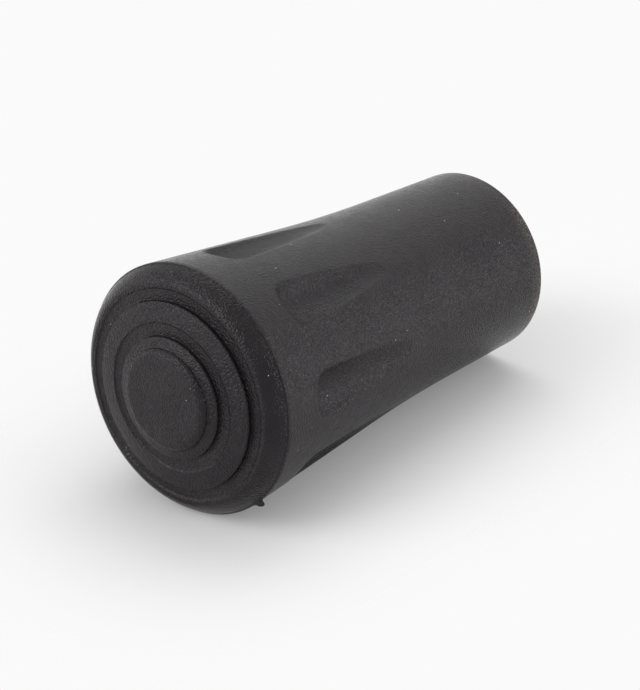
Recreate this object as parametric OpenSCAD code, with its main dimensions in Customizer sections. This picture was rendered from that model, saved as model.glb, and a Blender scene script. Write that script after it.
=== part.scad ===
// Rubber tip for a trekking pole. It stands on its foot: +Z runs up the axis to the mouth of the
// bore, and the origin is the middle of the foot, on the ground. One moulding, in millimetres.

/* [Overall] */
// Height from the ground to the mouth
length = 47; // [44:0.5:60]
// Diameter of the foot at its widest
foot_d = 25; // [24:0.1:30]
// Height of that widest place, where the rim's round meets the barrel
rim_h = 3.9; // [3.2:0.1:5]

/* [Barrel] */
// Diameter where the cone and the collar would meet
waist_d = 20.2; // [19.4:0.1:22]
// Height where the cone and the collar would meet
waist_h = 28.2; // [26:0.2:34]
// Length of the soft bend there, measured along each side of it
waist_bend = 7; // [2:0.5:9]
// Outer diameter at the mouth
mouth_d = 19.1; // [16:0.1:20]
// Round on the mouth's outer edge
mouth_round = 0.4; // [0.2:0.1:0.8]
// How far the mould's parting line lies below the widest place
parting_drop = 0.3; // [0.25:0.05:0.4]
// How far the flash at the parting line stands proud
parting_h = 0.08; // [0.04:0.02:0.2]
// Width of that flash at its root
parting_w = 0.24; // [0.1:0.02:0.4]

/* [Tread] */
// Diameter of the middle disc, at the foot of its wall
disc_d = 10.2; // [8:0.1:11.6]
// Width of the round on the disc's edge
disc_round = 0.9; // [0.4:0.05:1.2]
// Height of that round
disc_round_h = 0.5; // [0.3:0.05:0.55]
// Step from the ground up to the ring round the disc
disc_step = 0.6; // [0.6:0.05:1]
// Outer diameter of the inner ring
inner_ring_d = 12.2; // [11.4:0.1:14]
// Rise of the inner ring's face from its inside to its outside
inner_rise = 0.25; // [0.1:0.05:0.5]
// Wall round the inner ring
inner_wall = 0.45; // [0.3:0.05:0.8]
// Outer diameter of the flat land round the inner ring
inner_land_d = 14.5; // [14.2:0.1:16]
// Outer diameter of the outer ring
outer_ring_d = 18.7; // [17.5:0.1:20]
// Rise of the outer ring's face from its inside to its outside
outer_rise = 0.35; // [0.1:0.05:0.6]
// Wall round the outer ring
outer_wall = 0.5; // [0.3:0.05:0.8]
// Outer diameter of the flat land round the outer ring
outer_land_d = 20.8; // [20.3:0.1:21.8]
// Depth of each flat land below the lip round it
lip_h = 0.12; // [0.05:0.01:0.2]
// Width of that lip's slope
lip_w = 0.2; // [0.1:0.05:0.3]
// Width of the flat between the outer lip and the rim's round
rim_land_w = 0.35; // [0.1:0.05:0.6]
// How full the rim's round is: 1 is a quarter of an ellipse, 2 is a plain chamfer
rim_power = 1.4; // [1:0.05:2]

/* [Flutes] */
// Number of flutes round the barrel
flute_count = 8; // [3:1:9]
// Height where a flute's rounded end begins
flute_start = 8.1; // [6:0.1:12]
// Radius of a flute's hollow section
flute_r = 3.5; // [2.5:0.1:4]
// Depth of a flute at that end
flute_depth = 1.4; // [0.6:0.05:2]
// Slope of a flute's floor towards the axis, in degrees
flute_draft = 0.8; // [0:0.1:1]
// Round between a flute's end and its floor
flute_round = 2.2; // [0.4:0.1:2.4]
// Height where a flute's floor turns up to run out
flute_end = 23.4; // [21:0.2:24.4]
// Radius of that turn
flute_turn = 5; // [4:0.5:12]

/* [Bore] */
// Diameter of the bore that grips the pole's end
bore_d = 11.5; // [9:0.1:13]
// Rubber under the bore
floor_t = 12.5; // [8:0.5:20]
// Chamfer at the bore's mouth
bore_chamfer = 0.7; // [0.3:0.1:1.2]

/* [Flash nub] */
// Bearing of the nub left on the parting line, in degrees from a flute
nub_angle = 95; // [0:1:360]
// How far the nub stands out from the parting line
nub_out = 0.6; // [0.3:0.05:0.9]
// How far its tip leans back towards the collar
nub_lean = 0.6; // [0.2:0.05:1]
// Thickness at its root
nub_t = 0.45; // [0.3:0.05:0.6]
// Width round the rim
nub_w = 0.9; // [0.5:0.1:2]

/* [Hidden] */
$fn = 96;
over = 0.5;      // how far a cutter runs past what it cuts
arc_n = 8;       // pieces in a quarter round
tail_l = 4;      // how far a flute's finger runs past the turn at its end
foot_r = foot_d / 2;
waist_r = waist_d / 2;
mouth_r = mouth_d / 2;

// Heights of the tread, from the middle outwards
inner_edge_h = disc_step + inner_rise;
inner_land_h = inner_edge_h + inner_wall;
outer_toe_h = inner_land_h - lip_h;
outer_edge_h = outer_toe_h + outer_rise;
outer_land_h = outer_edge_h + outer_wall;
rim_toe_h = outer_land_h - lip_h;
rim_toe_r = outer_land_d / 2 + lip_w + rim_land_w;
parting_line_h = rim_h - parting_drop;

// Slopes of the cone and the collar, as radius lost per millimetre of height
cone_slope = (foot_r - waist_r) / (waist_h - rim_h);
collar_slope = (waist_r - mouth_r) / (length - waist_h);

function barrel_r(h) = foot_r - cone_slope * (h - rim_h);
function collar_r(h) = waist_r - collar_slope * (h - waist_h);

// The rim's round, from its toe beside the tread to the widest place
function rim_point(a) =
    [rim_toe_r + (foot_r - rim_toe_r) * pow(sin(a), rim_power),
     rim_h - (rim_h - rim_toe_h) * pow(cos(a), rim_power)];
function rim_angle(h) = acos(pow((rim_h - h) / (rim_h - rim_toe_h), 1 / rim_power));
function rim_r(h) = rim_point(rim_angle(h))[0];

// The rim up to the parting line, with the low ridge of flash there
crease_low = parting_line_h - parting_w / 2;
crease_high = parting_line_h + parting_w / 2;
function rim_round() = concat(
    [for (i = [1:arc_n - 1]) let (p = rim_point(90 * i / arc_n)) if (p[1] < crease_low - 0.02) p],
    [[rim_r(crease_low), crease_low], [rim_r(parting_line_h) + parting_h, parting_line_h],
     [rim_r(crease_high), crease_high]]);

function disc_edge() =
    [for (i = [0:arc_n]) let (a = 90 * i / arc_n)
        [disc_d / 2 - disc_round * (1 - sin(a)), disc_round_h * (1 - cos(a))]];

// The soft bend at the waist: its slope turns evenly from the cone's to the collar's
function waist_curve() =
    [for (i = [0:arc_n]) let (s = i / arc_n, h = waist_h + waist_bend * (2 * s - 1))
        [barrel_r(h) + (cone_slope - collar_slope) * waist_bend * s * s, h]];

function mouth_edge() =
    [for (i = [0:arc_n]) let (a = 90 * i / arc_n)
        [collar_r(length - mouth_round) - mouth_round * (1 - cos(a)),
         length - mouth_round * (1 - sin(a))]];

outline = concat(
    [[0, 0]],
    disc_edge(),
    [[disc_d / 2, disc_step],
     [inner_ring_d / 2, inner_edge_h], [inner_ring_d / 2, inner_land_h],
     [inner_land_d / 2, inner_land_h], [inner_land_d / 2 + lip_w, outer_toe_h],
     [outer_ring_d / 2, outer_edge_h], [outer_ring_d / 2, outer_land_h],
     [outer_land_d / 2, outer_land_h], [outer_land_d / 2 + lip_w, rim_toe_h],
     [rim_toe_r, rim_toe_h]],
    rim_round(),
    [[foot_r, rim_h]],
    waist_curve(),
    mouth_edge(),
    [[0, length]]);

module bore() {
    translate([0, 0, floor_t]) cylinder(h = length - floor_t + over, r = bore_d / 2);
    translate([0, 0, length - bore_chamfer])
        cylinder(h = bore_chamfer + over, r1 = bore_d / 2, r2 = bore_d / 2 + bore_chamfer + over);
}

// One round-nosed finger of the mould. Its section shrinks past the turn, so that the flute runs out
// into the cone.
module flute_finger() {
    straight_l = flute_end - flute_start;
    nose = [for (i = [0:arc_n]) let (a = 90 * i / arc_n)
        [flute_r - flute_round * (1 - sin(a)), flute_round * (1 - cos(a))]];
    tail = [for (i = [0:arc_n]) let (s = tail_l * i / arc_n)
        [flute_r - s * s / (2 * flute_turn), straight_l + s]];
    translate([barrel_r(flute_start) - flute_depth + flute_r, 0, flute_start])
        rotate([0, -flute_draft, 0])
            rotate_extrude() polygon(concat([[0, 0]], nose, tail, [[0, straight_l + tail_l]]));
}

// A sliver of flash on the parting line, leaning back towards the collar
module flash_nub() {
    root = rim_r(parting_line_h);
    low = parting_line_h - nub_t / 2;
    side = [[root - nub_t, low], [root + nub_out * 0.6, low + nub_lean * 0.15],
            [root + nub_out * 0.95, low + nub_lean * 0.45], [root + nub_out, low + nub_lean * 0.8],
            [root + nub_out * 0.75, low + nub_lean], [root + nub_out * 0.4, low + nub_lean * 0.85],
            [root - nub_t, low + nub_t]];
    rotate([0, 0, nub_angle]) translate([0, nub_w / 2, 0])
        rotate([90, 0, 0]) linear_extrude(nub_w) polygon(side);
}

module rubber_tip() {
    color([0.13, 0.13, 0.13]) {
        difference() {
            rotate_extrude() polygon(outline);
            bore();
            for (i = [0:flute_count - 1]) rotate([0, 0, i * 360 / flute_count]) flute_finger();
        }
        flash_nub();
    }
}

rubber_tip();
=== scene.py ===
# A rubber tip for a trekking pole, lying on its side on a white table.
# The frame's own axes have it standing on its foot, so here the table is a tilted plane
# that touches the tip's side at its parting line and at the end of its collar.
import math

import bpy
import numpy as np
from mathutils import Matrix, Vector


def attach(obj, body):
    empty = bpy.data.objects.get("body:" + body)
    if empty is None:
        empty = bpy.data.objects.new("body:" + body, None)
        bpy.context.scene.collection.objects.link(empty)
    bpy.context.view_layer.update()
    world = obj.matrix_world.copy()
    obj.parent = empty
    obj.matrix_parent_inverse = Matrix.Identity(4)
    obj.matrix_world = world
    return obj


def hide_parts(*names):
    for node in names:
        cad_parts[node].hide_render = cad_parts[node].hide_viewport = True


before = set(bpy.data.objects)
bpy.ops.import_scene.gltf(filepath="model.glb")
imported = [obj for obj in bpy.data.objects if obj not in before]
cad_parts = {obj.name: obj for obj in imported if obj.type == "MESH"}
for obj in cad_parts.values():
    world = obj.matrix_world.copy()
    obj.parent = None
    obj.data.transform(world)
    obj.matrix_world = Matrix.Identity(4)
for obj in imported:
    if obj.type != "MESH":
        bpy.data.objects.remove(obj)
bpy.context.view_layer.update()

MM = 0.001

# ---- the tip's sizes in millimetres, as in the part's source ----
LENGTH = 47.0
FOOT_R = 12.5
RIM_H = 3.9                  # the widest place, where the rim's round meets the barrel
WAIST_R = 10.1               # where the cone and the collar would meet
WAIST_H = 28.2
WAIST_BEND = 7.0             # length of the soft bend to each side of that place
MOUTH_R = 9.55
MOUTH_ROUND = 0.4
PARTING_LINE_H = 3.6
PARTING_H = 0.08             # how far the flash at the parting line stands proud
PARTING_W = 0.24

DISC_R = 5.1
DISC_ROUND = 0.9
DISC_ROUND_H = 0.5
DISC_STEP = 0.6
INNER_RING_R = 6.1
INNER_RISE = 0.25
INNER_WALL = 0.45
INNER_LAND_R = 7.25
OUTER_RING_R = 9.35
OUTER_RISE = 0.35
OUTER_WALL = 0.5
OUTER_LAND_R = 10.4
LIP_H = 0.12
LIP_W = 0.2
RIM_LAND_W = 0.35
RIM_POWER = 1.4

FLUTE_COUNT = 8
FLUTE_START = 8.1
FLUTE_R = 3.5
FLUTE_DEPTH = 1.4
FLUTE_DRAFT = math.radians(0.8)
FLUTE_ROUND = 2.2
FLUTE_END = 23.4             # height where a flute's floor turns up to run out
FLUTE_TURN = 5.0             # radius of that turn

BORE_R = 5.75
FLOOR_T = 12.5
BORE_CHAMFER = 0.7

# ---- the flash nub, which the source has as a flat-sided sliver and the mesh as a blunt form ----
NUB_BEARING = math.radians(95)
NUB_OUT = 0.6
NUB_LEAN = 0.42
NUB_HALF_W = 0.45
NUB_HALF_T = 0.26
NUB_SKIRT = 0.18             # share of its reach that goes to the low skirt beside it
NUB_SKIRT_AT = 0.9           # middle of that skirt, in half widths of the nub
NUB_SKIRT_SPREAD = 1.6

# ---- softening that only this mesh has, in millimetres ----
FLUTE_EDGE = 0.16            # reach of the softening to each side of a flute's edge
FLUTE_EDGE_SLOPES = (0.05, 1.5)      # slopes between which the edge is softened by that width
DISC_FOOT_FILLET = 0.07
INNER_EDGE_FILLET = 0.14
OUTER_EDGE_FILLET = 0.16
WALL_FOOT_FILLET = 0.06
LIP_FOOT_FILLET = 0.04
LIP_TOP_FILLET = 0.05
CHAMFER_FILLET = 0.12
FLOOR_FILLET = 0.4

# ---- how finely the surface is divided ----
FILLET_PIECES = 4
COLS_INSIDE = 17             # columns from the middle of a flute to its edge
COLS_OUTSIDE = 13            # and from there to the middle of the web beside it
FLUTE_COLS = 2 * (COLS_INSIDE + COLS_OUTSIDE)
EDGE_CROWD = 0.45            # how much the columns crowd at a flute's edge
FLOOR_LOW = 10.5             # height where a flute's rounded end has become its floor
LEAST_EDGE = 0.3             # the columns close up no further than this share of the widest flute
EVEN_BELOW = 7.8             # the columns turn even below this height, over EVEN_BELOW_OVER
EVEN_BELOW_OVER = 3.0
EVEN_ABOVE = 25.0            # and above this one, over EVEN_ABOVE_OVER
EVEN_ABOVE_OVER = 4.0
RIM_LOW = 2.95               # height where the fine rows begin on the rim
RIM_ROWS = 12
PROBE = 0.01                 # half the distance over which a slope is measured

INNER_EDGE_H = DISC_STEP + INNER_RISE
INNER_LAND_H = INNER_EDGE_H + INNER_WALL
OUTER_TOE_H = INNER_LAND_H - LIP_H
OUTER_EDGE_H = OUTER_TOE_H + OUTER_RISE
OUTER_LAND_H = OUTER_EDGE_H + OUTER_WALL
RIM_TOE_H = OUTER_LAND_H - LIP_H
RIM_TOE_R = OUTER_LAND_R + LIP_W + RIM_LAND_W
CONE_SLOPE = (FOOT_R - WAIST_R) / (WAIST_H - RIM_H)
COLLAR_SLOPE = (WAIST_R - MOUTH_R) / (LENGTH - WAIST_H)


# ------------------------------------------------------------ the outside

def cone_r(h):
    return FOOT_R - CONE_SLOPE * (h - RIM_H)


def collar_r(h):
    return WAIST_R - COLLAR_SLOPE * (h - WAIST_H)


def wall_r(h):
    """Outer radius at height h, without the flutes: cone, soft bend, collar."""
    s = (h - WAIST_H + WAIST_BEND) / (2 * WAIST_BEND)
    bend = cone_r(h) + (CONE_SLOPE - COLLAR_SLOPE) * WAIST_BEND * s * s
    return np.where(s < 0, cone_r(h), np.where(s > 1, collar_r(h), bend))


def rim_r(h):
    """Outer radius of the foot's rounded rim."""
    turn = np.clip((RIM_H - h) / (RIM_H - RIM_TOE_H), 0, 1) ** (1 / RIM_POWER)
    return RIM_TOE_R + (FOOT_R - RIM_TOE_R) * (1 - turn ** 2) ** (RIM_POWER / 2)


def parting_bump(h):
    """The low ridge that the mould leaves at its parting line."""
    away = np.clip(np.abs(h - PARTING_LINE_H) / (PARTING_W / 2), 0, 1)
    return PARTING_H * 0.5 * (1 + np.cos(math.pi * away))


def finger_axis(h):
    """Distance from the tip's axis to the axis of the round finger that hollows a flute."""
    start = cone_r(FLUTE_START) - FLUTE_DEPTH + FLUTE_R
    return start - (h - FLUTE_START) * math.tan(FLUTE_DRAFT)


def finger_r(h):
    """Radius of that finger, rounded at its nose and shrinking past the turn."""
    tail = 5.0               # further up than this the finger has left the wall
    left = np.clip(FLUTE_ROUND - (h - FLUTE_START), 0, FLUTE_ROUND)
    past = np.clip(h - FLUTE_END, 0, tail)
    nose = FLUTE_R - FLUTE_ROUND + np.sqrt(FLUTE_ROUND ** 2 - left ** 2)
    return nose - past ** 2 / (2 * FLUTE_TURN)


def flute_clearance(angle, h):
    """How far the finger's surface lies outside the wall (negative where it cuts in)."""
    slope_beside = 2.0       # how fast the clearance grows beside the finger
    pitch = 2 * math.pi / FLUTE_COUNT
    angle = (angle + pitch / 2) % pitch - pitch / 2
    axis = finger_axis(h)
    side = axis * np.sin(angle)
    inside = np.clip(finger_r(h) ** 2 - side ** 2, 0, None)
    cut = axis * np.cos(angle) - np.sqrt(inside)
    missing = np.clip(np.abs(side) - finger_r(h), 0, None)
    return cut + slope_beside * missing - wall_r(h)


def skin_r(angle, h):
    """Outer radius with the flutes, their edges softened by an even width."""
    gap = flute_clearance(angle, h)
    along = (flute_clearance(angle, h + PROBE) - flute_clearance(angle, h - PROBE)) / (2 * PROBE)
    turn = PROBE / wall_r(h)
    across = (flute_clearance(angle + turn, h) - flute_clearance(angle - turn, h)) / (2 * PROBE)
    soft = FLUTE_EDGE * np.clip(np.hypot(along, across), *FLUTE_EDGE_SLOPES)
    t = np.clip(0.5 - 0.5 * gap / soft, 0, 1)
    side = wall_r(h) + gap * t - soft * t * (1 - t)
    return np.where(h < RIM_H, rim_r(h), side) + parting_bump(h)


def flute_edge(h):
    """Half the angle that a flute takes up at height h."""
    axis = finger_axis(h)
    wall = float(wall_r(h))
    finger = float(finger_r(h))
    c = (axis * axis + wall * wall - finger * finger) / (2 * axis * wall)
    return math.acos(c) if c < 1 else 0.0


# ------------------------------------------------------------ profile rows, as (radius, height)

def spread(start, end, count):
    """count values that run evenly from start towards end, without end itself."""
    return [start + (end - start) * i / count for i in range(count)]


def softened(path):
    """A path of (radius, height, fillet): each corner with a fillet becomes a short round."""
    out = []
    for i, (r, h, fillet) in enumerate(path):
        if not fillet:
            out.append((r, h))
            continue
        here = Vector((r, h))
        start = here + (Vector(path[i - 1][:2]) - here).normalized() * fillet
        end = here + (Vector(path[i + 1][:2]) - here).normalized() * fillet
        for k in range(FILLET_PIECES + 1):
            t = k / FILLET_PIECES
            p = start * (1 - t) ** 2 + here * 2 * t * (1 - t) + end * t * t
            out.append((p.x, p.y))
    return out


def disc_path():
    """The middle disc: its flat face, the round on its edge, and the foot of its wall."""
    face = [(r, 0.0, 0) for r in (0.8, 1.8, 2.8, 3.7)]
    edge = [
        (DISC_R - DISC_ROUND * (1 - math.sin(a)), DISC_ROUND_H * (1 - math.cos(a)), 0)
        for a in spread(0, math.pi / 2, 11)
    ]
    return face + edge + [(DISC_R, DISC_STEP, DISC_FOOT_FILLET)]


def land_path(ring_r, land_h, land_radii, land_r):
    """The foot of a ring's wall, the flat land round the ring, and the lip beyond it."""
    path = [(ring_r, land_h, WALL_FOOT_FILLET)]
    path += [(r, land_h, 0) for r in land_radii]
    path += [(land_r, land_h, LIP_FOOT_FILLET)]
    path += [(land_r + LIP_W, land_h - LIP_H, LIP_TOP_FILLET)]
    return path


def tread_rows():
    """The foot's face, from near its middle out to the start of the fine rows on the rim."""
    path = disc_path()
    path += [(5.6, DISC_STEP + INNER_RISE / 2, 0), (INNER_RING_R, INNER_EDGE_H, INNER_EDGE_FILLET)]
    path += land_path(INNER_RING_R, INNER_LAND_H, (6.5, 6.9), INNER_LAND_R)
    path += [(8.45, (OUTER_TOE_H + OUTER_EDGE_H) / 2, 0)]
    path += [(OUTER_RING_R, OUTER_EDGE_H, OUTER_EDGE_FILLET)]
    path += land_path(OUTER_RING_R, OUTER_LAND_H, (9.75, 10.15), OUTER_LAND_R)
    path += [(RIM_TOE_R - 0.2, RIM_TOE_H, 0)]
    heights = [RIM_TOE_H + (RIM_LOW - RIM_TOE_H) * s * s for s in spread(0, 1, RIM_ROWS)]
    path += [(float(rim_r(h)), h, 0) for h in heights]
    return softened(path)


def side_heights():
    """Heights of the rows up the side, close together where the shape turns quickly."""
    # each band of rows: the height where it begins, and how many rows it has
    bands = [
        (RIM_LOW, 6),
        (PARTING_LINE_H - PARTING_W / 2, 6),
        (PARTING_LINE_H + PARTING_W / 2, 9),
        (4.7, 6),
        (FLUTE_START, 10),
        (8.9, 11),
        (FLOOR_LOW, 28),
        (22.5, 16),
        (26.0, 24),
    ]
    ends = [start for start, count in bands[1:]] + [LENGTH - MOUTH_ROUND]
    heights = []
    for (start, count), end in zip(bands, ends):
        heights += spread(start, end, count)
    return heights


def bore_rows():
    """The mouth's round, its flat end, the chamfer, and the blind bore down to its floor."""
    last = float(collar_r(LENGTH - MOUTH_ROUND))
    path = [
        (last - MOUTH_ROUND * (1 - math.cos(a)), LENGTH - MOUTH_ROUND * (1 - math.sin(a)), 0)
        for a in spread(0, math.pi / 2, 6)
    ]
    path += [(r, LENGTH, 0) for r in (last - MOUTH_ROUND, 8.1, 7.1)]
    path += [(BORE_R + BORE_CHAMFER, LENGTH, CHAMFER_FILLET)]
    path += [(BORE_R, LENGTH - BORE_CHAMFER, CHAMFER_FILLET)]
    path += [(BORE_R, h, 0) for h in (44.0, 40.0, 35.0, 30.0, 24.0, 18.0, 14.0)]
    path += [(BORE_R, FLOOR_T, FLOOR_FILLET)]
    path += [(r, FLOOR_T, 0) for r in (3.5, 1.2)]
    return softened(path)


# ------------------------------------------------------------ columns

def crowd(s):
    """0..1 to 0..1, with the steps shrinking towards 1."""
    return s + EDGE_CROWD / math.pi * math.sin(math.pi * s)


def flute_columns(edge):
    """Bearings of the columns across one flute's share, crowding at the flute's two edges."""
    half = math.pi / FLUTE_COUNT
    one = [edge * crowd(i / COLS_INSIDE) for i in range(COLS_INSIDE)]
    one += [half - (half - edge) * crowd(1 - i / COLS_OUTSIDE) for i in range(COLS_OUTSIDE + 1)]
    return [-v for v in reversed(one[1:-1])] + one


def columns_at(h):
    """Bearings of the fine columns at height h: along the flutes' edges, and even elsewhere."""
    widest = flute_edge(FLOOR_LOW)
    edge = widest if h < FLOOR_LOW else max(flute_edge(h), LEAST_EDGE * widest)
    even = [math.pi / FLUTE_COUNT * (2 * i / FLUTE_COLS - 1) for i in range(1, FLUTE_COLS + 1)]
    above = (h - EVEN_ABOVE) / EVEN_ABOVE_OVER
    below = (EVEN_BELOW - h) / EVEN_BELOW_OVER
    calm = min(max(above, below, 0.0), 1.0)
    share = [a * (1 - calm) + b * calm for a, b in zip(flute_columns(edge), even)]
    pitch = 2 * math.pi / FLUTE_COUNT
    return np.array([v + pitch * k for k in range(FLUTE_COUNT) for v in share])


# ------------------------------------------------------------ the mesh

def pull_nub(angle, r, h):
    """Draws the blunt flash nub out of the parting line and leans it towards the collar."""
    across = (angle - NUB_BEARING) * FOOT_R / NUB_HALF_W
    along = (h - PARTING_LINE_H) / NUB_HALF_T
    pull = np.sqrt(np.clip(1 - across ** 2, 0, 1) * np.clip(1 - along ** 2, 0, 1))
    beside = np.clip(1 - (across - NUB_SKIRT_AT) ** 2 / NUB_SKIRT_SPREAD, 0, 1)
    skirt = beside * np.clip(1 - along ** 2, 0, 1)
    out = NUB_OUT * ((1 - NUB_SKIRT) * pull + NUB_SKIRT * skirt)
    return r + out, h + NUB_LEAN * pull ** 2


def ring_points(angle, r, h):
    return np.column_stack([r * np.cos(angle), r * np.sin(angle), h + 0 * angle]) * MM


def tip_rows():
    """All the rows of points, from the middle of the foot's face round to the floor of the bore."""
    coarse = columns_at(RIM_LOW)[1::2]
    rows = [ring_points(coarse, r, h) for r, h in tread_rows()]
    for h in side_heights():
        angle = columns_at(h)
        r, lifted = pull_nub(angle, skin_r(angle, np.full_like(angle, h)), h)
        rows.append(ring_points(angle, r, lifted))
    coarse = columns_at(LENGTH)[1::2]
    rows += [ring_points(coarse, r, h) for r, h in bore_rows()]
    return rows


def band(n, first, m, second):
    """Faces between rings of n and of m points; one ring may have twice as many as the other."""
    if n == m:
        return [(first + i, first + (i + 1) % n, second + (i + 1) % n, second + i) for i in range(n)]
    if n < m:
        return [
            (first + i, first + (i + 1) % n,
             second + (2 * i + 3) % m, second + (2 * i + 2) % m, second + 2 * i + 1)
            for i in range(n)
        ]
    return [
        (first + 2 * i + 1, first + (2 * i + 2) % n, first + (2 * i + 3) % n,
         second + (i + 1) % m, second + i)
        for i in range(m)
    ]


def ring_edges(first, n):
    return [(first + i, first + (i + 1) % n) for i in range(n)]


def tip_mesh():
    """The whole tip as one closed mesh, with a fan of triangles at each end of the rows."""
    rows = tip_rows()
    counts = [len(row) for row in rows]
    starts = np.cumsum([0] + counts).tolist()
    faces = []
    for i in range(len(rows) - 1):
        faces += band(counts[i], starts[i], counts[i + 1], starts[i + 1])
    points = np.vstack(rows).tolist()
    foot_hub = len(points)
    floor_hub = foot_hub + 1
    points += [rows[0].mean(axis=0).tolist(), rows[-1].mean(axis=0).tolist()]
    faces += [(b, a, foot_hub) for a, b in ring_edges(0, counts[0])]
    faces += [(a, b, floor_hub) for a, b in ring_edges(starts[-2], counts[-1])]
    mesh = bpy.data.meshes.new("tip")
    mesh.from_pydata(points, [], faces)
    mesh.validate()
    mesh.update()
    mesh.shade_smooth()
    return mesh


# ------------------------------------------------------------ camera
# It was fitted to the photograph's outline and to the circles of the tread.

VIEW_BEARING = math.radians(15.5)    # from a flute to the side that faces the camera
FOCAL_PX = 2850.0                    # focal length in pixels of the 640 x 690 frame
FRAME_LONG_PX = 690.0
SENSOR = 36.0
CLIP_NEAR = 0.01
CLIP_FAR = 10.0
CAM_OUT = 200.172                    # millimetres from the axis
CAM_DROP = 175.692                   # millimetres below the foot
CAM_RIGHT = (0.63916, 0.41954, 0.64456)
CAM_DOWN = (-0.29140, 0.90772, -0.30187)
CAM_AHEAD = (-0.71173, 0.00512, 0.70243)

to_frame = Matrix.Rotation(VIEW_BEARING, 3, "Z")
cam_right = to_frame @ Vector(CAM_RIGHT)
cam_down = to_frame @ Vector(CAM_DOWN)
cam_ahead = to_frame @ Vector(CAM_AHEAD)


def place(thing, location, x_axis, y_axis, z_axis):
    """Puts an object at a place, turned so that its own axes run along the three given."""
    thing.rotation_mode = "QUATERNION"
    thing.rotation_quaternion = Matrix((x_axis, y_axis, z_axis)).transposed().to_quaternion()
    thing.location = location
    bpy.context.collection.objects.link(thing)


def make_camera():
    data = bpy.data.cameras.new("camera")
    data.sensor_width = SENSOR
    data.lens = FOCAL_PX * SENSOR / FRAME_LONG_PX
    data.clip_start = CLIP_NEAR
    data.clip_end = CLIP_FAR
    camera = bpy.data.objects.new("camera", data)
    spot = to_frame @ Vector((CAM_OUT * MM, 0, -CAM_DROP * MM))
    place(camera, spot, cam_right, -cam_down, -cam_ahead)
    bpy.context.scene.camera = camera


# ------------------------------------------------------------ the table that the tip lies on

TABLE_R = 0.13
TABLE_SIDES = 96
PARTING_R = float(rim_r(PARTING_LINE_H)) + PARTING_H

lean = math.atan((PARTING_R - MOUTH_R) / (LENGTH - MOUTH_ROUND - PARTING_LINE_H))
flat_right = math.hypot(cam_right.x, cam_right.y)
# the touching line's bearing: there the table's normal is square to the camera's own right
right_bearing = math.atan2(cam_right.y, cam_right.x)
touch = right_bearing + math.acos(-math.tan(lean) * cam_right.z / flat_right)
outward = Vector((math.cos(touch), math.sin(touch), 0))
table_up = -(math.cos(lean) * outward + math.sin(lean) * Vector((0, 0, 1)))
table_point = (outward * PARTING_R + Vector((0, 0, PARTING_LINE_H))) * MM
table_ahead = (cam_ahead - table_up * cam_ahead.dot(table_up)).normalized()


def make_table(material):
    """A round table top: it isn't part of the object."""
    turns = [2 * math.pi * i / TABLE_SIDES for i in range(TABLE_SIDES)]
    ring = [(TABLE_R * math.cos(a), TABLE_R * math.sin(a), 0) for a in turns]
    mesh = bpy.data.meshes.new("table")
    mesh.from_pydata(ring, [], [tuple(range(TABLE_SIDES))])
    mesh.materials.append(material)
    table = bpy.data.objects.new("table", mesh)
    place(table, table_point, cam_right, table_ahead, table_up)


# ------------------------------------------------------------ node helpers

class Nodes:
    """Short calls for building a node tree."""

    def __init__(self, tree):
        self.tree = tree

    def add(self, kind, **settings):
        node = self.tree.nodes.new(kind)
        for name, value in settings.items():
            setattr(node, name, value)
        return node

    def link(self, out, into):
        self.tree.links.new(out, into)

    def put(self, value, socket):
        if isinstance(value, bpy.types.NodeSocket):
            self.link(value, socket)
        else:
            socket.default_value = value

    def math(self, operation, a, b):
        node = self.add("ShaderNodeMath", operation=operation)
        self.put(a, node.inputs[0])
        self.put(b, node.inputs[1])
        return node.outputs[0]

    def noise(self, where, scale, detail):
        node = self.add("ShaderNodeTexNoise")
        self.link(where, node.inputs["Vector"])
        node.inputs["Scale"].default_value = scale
        node.inputs["Detail"].default_value = detail
        return node.outputs["Fac"]

    def step(self, value, low, high, to_low=0.0, to_high=1.0):
        node = self.add("ShaderNodeMapRange", interpolation_type="SMOOTHSTEP")
        self.put(value, node.inputs["Value"])
        node.inputs["From Min"].default_value = low
        node.inputs["From Max"].default_value = high
        node.inputs["To Min"].default_value = to_low
        node.inputs["To Max"].default_value = to_high
        return node.outputs["Result"]

    def mix(self, fac, a, b):
        node = self.add("ShaderNodeMix", data_type="RGBA")
        self.put(fac, node.inputs["Factor"])
        self.put(a, node.inputs["A"])
        self.put(b, node.inputs["B"])
        return node.outputs["Result"]

    def mix_shaders(self, fac, a, b):
        node = self.add("ShaderNodeMixShader")
        self.put(fac, node.inputs[0])
        self.link(a, node.inputs[1])
        self.link(b, node.inputs[2])
        return node.outputs[0]

    def bump(self, height, distance, normal=None):
        node = self.add("ShaderNodeBump")
        node.inputs["Strength"].default_value = 1.0
        node.inputs["Distance"].default_value = distance
        self.link(height, node.inputs["Height"])
        if normal:
            self.link(normal, node.inputs["Normal"])
        return node.outputs["Normal"]


def grey(level):
    return (level, level, level, 1)


# ------------------------------------------------------------ the rubber
# Scales are in cells per metre, and each range is the part of a value over which it takes effect.

RUBBER_DARK = (0.0078, 0.0062, 0.0074, 1)
RUBBER_LIGHT = (0.0116, 0.0094, 0.0106, 1)
CLOUD_SCALE = 260.0          # slow change of tone between those two
CLOUD_RANGE = (0.35, 0.68)
RUBBER_SPECULAR = 0.20
RUBBER_SHEEN = (1.0, 0.97, 1.0, 1)
RUBBER_IOR = 1.5

GRAIN_SCALE = 6000.0         # a grain is about 0.17 mm
GRAIN_DETAIL = 0.4
GRAIN_HEIGHT = 0.000105
SWELL_SCALE = 700.0          # unevenness of the gloss, and a slight swell of the skin with it
SWELL_RANGE = (0.3, 0.7)
SWELL_HEIGHT = 0.00002
ROUGHNESS = (0.18, 0.24)

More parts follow.
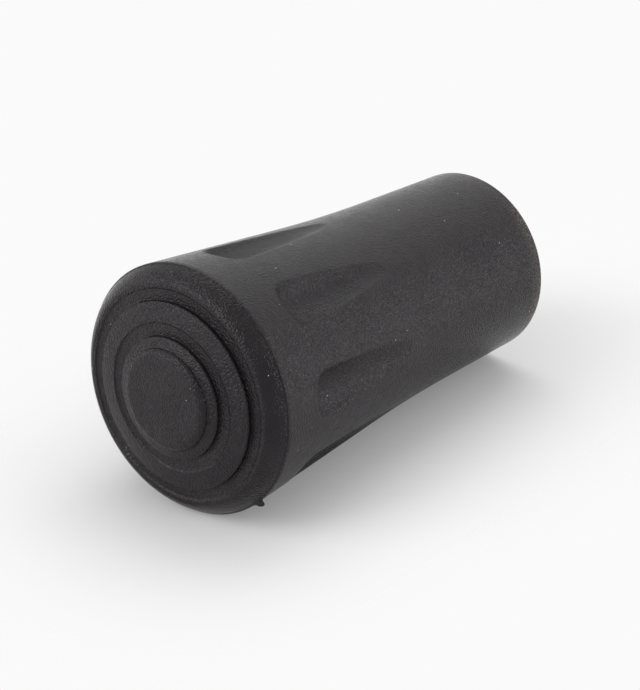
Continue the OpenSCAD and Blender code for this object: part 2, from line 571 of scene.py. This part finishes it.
DUST = (0.200, 0.165, 0.135, 1)
DUST_COVER = 0.45
DUST_HEIGHTS = (0.0448, 0.0468)      # metres: dust lies only at the collar's end
DUST_RADII = (0.0089, 0.0093)        # metres: and only on its outside
DUST_PATCH_SCALE = 170.0
DUST_PATCH_RANGE = (0.36, 0.62)
DUST_FINE_SCALE = 5200.0
DUST_FINE_RANGE = (0.38, 0.62)

SPECK = (0.60, 0.58, 0.55, 1)
SPECK_SCALE = 700.0
SPECK_PICK = (0.46, 0.50)            # which of the cells hold a speck, by their random red
SPECK_EDGE = (0.045, 0.03)           # a speck's edge, as a share of its cell


def clouded_rubber(n, where):
    cloud = n.noise(where, CLOUD_SCALE, detail=3.0)
    return n.mix(n.step(cloud, *CLOUD_RANGE), RUBBER_DARK, RUBBER_LIGHT)


def mouth_dust(n, where):
    """How much dust lies at a point: patchy, and only on the outside of the collar's end."""
    spot = n.add("ShaderNodeSeparateXYZ")
    n.link(where, spot.inputs[0])
    squares = [n.math("POWER", spot.outputs[axis], 2.0) for axis in ("X", "Y")]
    off_axis = n.math("POWER", n.math("ADD", *squares), 0.5)
    near_mouth = n.step(spot.outputs["Z"], *DUST_HEIGHTS)
    there = n.math("MULTIPLY", near_mouth, n.step(off_axis, *DUST_RADII))
    patches = n.step(n.noise(where, DUST_PATCH_SCALE, detail=3.0), *DUST_PATCH_RANGE)
    fine = n.step(n.noise(where, DUST_FINE_SCALE, detail=1.0), *DUST_FINE_RANGE)
    dust = n.math("MULTIPLY", n.math("MULTIPLY", there, patches), fine)
    return n.math("MULTIPLY", dust, DUST_COVER)


def pale_specks(n, where):
    """1 in the middle of a few cells, and 0 elsewhere."""
    cells = n.add("ShaderNodeTexVoronoi")
    n.link(where, cells.inputs["Vector"])
    cells.inputs["Scale"].default_value = SPECK_SCALE
    tint = n.add("ShaderNodeSeparateColor")
    n.link(cells.outputs["Color"], tint.inputs[0])
    picked = n.step(tint.outputs[0], *SPECK_PICK)
    return n.math("MULTIPLY", n.step(cells.outputs["Distance"], *SPECK_EDGE), picked)


def rubber_material():
    material = bpy.data.materials.new("moulded_rubber")
    material.use_nodes = True
    n = Nodes(material.node_tree)
    shader = material.node_tree.nodes["Principled BSDF"]
    where = n.add("ShaderNodeTexCoord").outputs["Object"]

    colour = n.mix(mouth_dust(n, where), clouded_rubber(n, where), DUST)
    colour = n.mix(pale_specks(n, where), colour, SPECK)
    n.link(colour, shader.inputs["Base Color"])

    swell = n.noise(where, SWELL_SCALE, detail=3.0)
    n.link(n.step(swell, *SWELL_RANGE, *ROUGHNESS), shader.inputs["Roughness"])
    shader.inputs["Specular IOR Level"].default_value = RUBBER_SPECULAR
    shader.inputs["Specular Tint"].default_value = RUBBER_SHEEN
    shader.inputs["IOR"].default_value = RUBBER_IOR

    grain = n.noise(where, GRAIN_SCALE, detail=GRAIN_DETAIL)
    swollen = n.bump(swell, SWELL_HEIGHT)
    n.link(n.bump(grain, GRAIN_HEIGHT, swollen), shader.inputs["Normal"])
    return material


# ------------------------------------------------------------ the white table and world

WHITE = 0.956
TABLE_SEEN = 0.80            # the table's own white as the camera sees it, before the glow
TABLE_GLOW = 0.10            # what the camera sees on top of that, in the shadows too
SHADE_NEAR = 0.006           # the camera sees the table's shading whole up to this distance
SHADE_FAR = 0.034            # from the line under the tip's axis, and plain white beyond this one
WORLD_STRENGTH = 0.45


def beside_tip(n):
    """Distance on the table from the line that runs under the tip, from its foot to its mouth."""
    axis = Vector((0, 0, 1))
    flat = Vector((axis.dot(cam_right), axis.dot(table_ahead), 0)).normalized()
    where = n.add("ShaderNodeTexCoord").outputs["Object"]
    along = n.add("ShaderNodeVectorMath", operation="DOT_PRODUCT")
    n.link(where, along.inputs[0])
    along.inputs[1].default_value = flat
    held = n.add("ShaderNodeClamp")
    n.link(along.outputs["Value"], held.inputs["Value"])
    held.inputs["Max"].default_value = (LENGTH - PARTING_LINE_H) * MM
    nearest = n.add("ShaderNodeVectorMath", operation="SCALE")
    nearest.inputs[0].default_value = flat
    n.link(held.outputs[0], nearest.inputs["Scale"])
    away = n.add("ShaderNodeVectorMath", operation="DISTANCE")
    n.link(where, away.inputs[0])
    n.link(nearest.outputs[0], away.inputs[1])
    return away.outputs["Value"]


def pictured_table(n):
    """What the camera sees of the table: it fades out far from the tip, and is clear from below."""
    lit = n.add("ShaderNodeBsdfDiffuse")
    lit.inputs["Color"].default_value = grey(TABLE_SEEN)
    glow = n.add("ShaderNodeEmission")
    glow.inputs["Strength"].default_value = TABLE_GLOW
    top = n.add("ShaderNodeAddShader")
    n.link(lit.outputs[0], top.inputs[0])
    n.link(glow.outputs[0], top.inputs[1])
    clear = n.add("ShaderNodeBsdfTransparent")
    fade = n.step(beside_tip(n), SHADE_NEAR, SHADE_FAR)
    under = n.add("ShaderNodeNewGeometry").outputs["Backfacing"]
    return n.mix_shaders(n.math("MAXIMUM", fade, under), top.outputs[0], clear.outputs[0])


def table_material():
    material = bpy.data.materials.new("white_table")
    material.use_nodes = True
    n = Nodes(material.node_tree)
    shader = material.node_tree.nodes["Principled BSDF"]
    shader.inputs["Base Color"].default_value = grey(WHITE)
    shader.inputs["Roughness"].default_value = 1.0
    shader.inputs["Specular IOR Level"].default_value = 0.0
    seen = n.add("ShaderNodeLightPath").outputs["Is Camera Ray"]
    surface = n.mix_shaders(seen, shader.outputs[0], pictured_table(n))
    n.link(surface, material.node_tree.nodes["Material Output"].inputs["Surface"])
    return material


def make_world():
    """White where it is seen, directly or in a reflection, and a weaker white light elsewhere."""
    world = bpy.data.worlds.new("studio")
    bpy.context.scene.world = world
    world.use_nodes = True
    n = Nodes(world.node_tree)
    light = world.node_tree.nodes["Background"]
    light.inputs["Color"].default_value = (1, 1, 1, 1)
    light.inputs["Strength"].default_value = WORLD_STRENGTH
    white = n.add("ShaderNodeBackground")
    white.inputs["Color"].default_value = grey(WHITE)
    white.inputs["Strength"].default_value = 1.0
    path = n.add("ShaderNodeLightPath")
    straight = n.math("MAXIMUM", path.outputs["Is Camera Ray"], path.outputs["Is Transmission Ray"])
    seen = n.math("MAXIMUM", straight, path.outputs["Is Glossy Ray"])
    surface = n.mix_shaders(seen, light.outputs[0], white.outputs[0])
    n.link(surface, world.node_tree.nodes["World Output"].inputs["Surface"])


# ------------------------------------------------------------ lamps
# name: (bearing from the camera's right and height above the table, in degrees; distance from
#        the tip, width and height, in metres; radiance)

LAMPS = {
    "overhead": (85, 58, 0.60, 0.60, 0.46, 1.68),
    "left": (200, 24, 0.60, 0.40, 0.50, 3.8),
    "right": (342, 11, 0.60, 0.46, 0.23, 5.26),
    "right_high": (10, 42, 0.60, 0.40, 0.35, 0.71),
}

tip_middle = Vector((0, 0, LENGTH / 2)) * MM


def make_lamp(name, bearing, height, distance, wide, tall, radiance):
    """A soft rectangular lamp that faces the tip, placed by its bearing and height."""
    b = math.radians(bearing)
    e = math.radians(height)
    side = cam_right * math.cos(b) + table_ahead * math.sin(b)
    towards = side * math.cos(e) + table_up * math.sin(e)
    data = bpy.data.lights.new(name, "AREA")
    data.shape = "RECTANGLE"
    data.size = wide
    data.size_y = tall
    data.energy = radiance * math.pi * wide * tall
    lamp = bpy.data.objects.new(name, data)
    lamp.visible_camera = False
    across = table_up.cross(towards).normalized()
    place(lamp, tip_middle + towards * distance, across, towards.cross(across), towards)


# ------------------------------------------------------------ the scene

def make_tip():
    tip = bpy.data.objects.new("pole_tip", tip_mesh())
    tip.data.materials.append(rubber_material())
    bpy.context.collection.objects.link(tip)
    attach(tip, "root")
    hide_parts("rubber_tip")


make_camera()
make_world()
for lamp_name, lamp_values in LAMPS.items():
    make_lamp(lamp_name, *lamp_values)
make_table(table_material())
make_tip()

bpy.context.scene.view_settings.view_transform = "Standard"
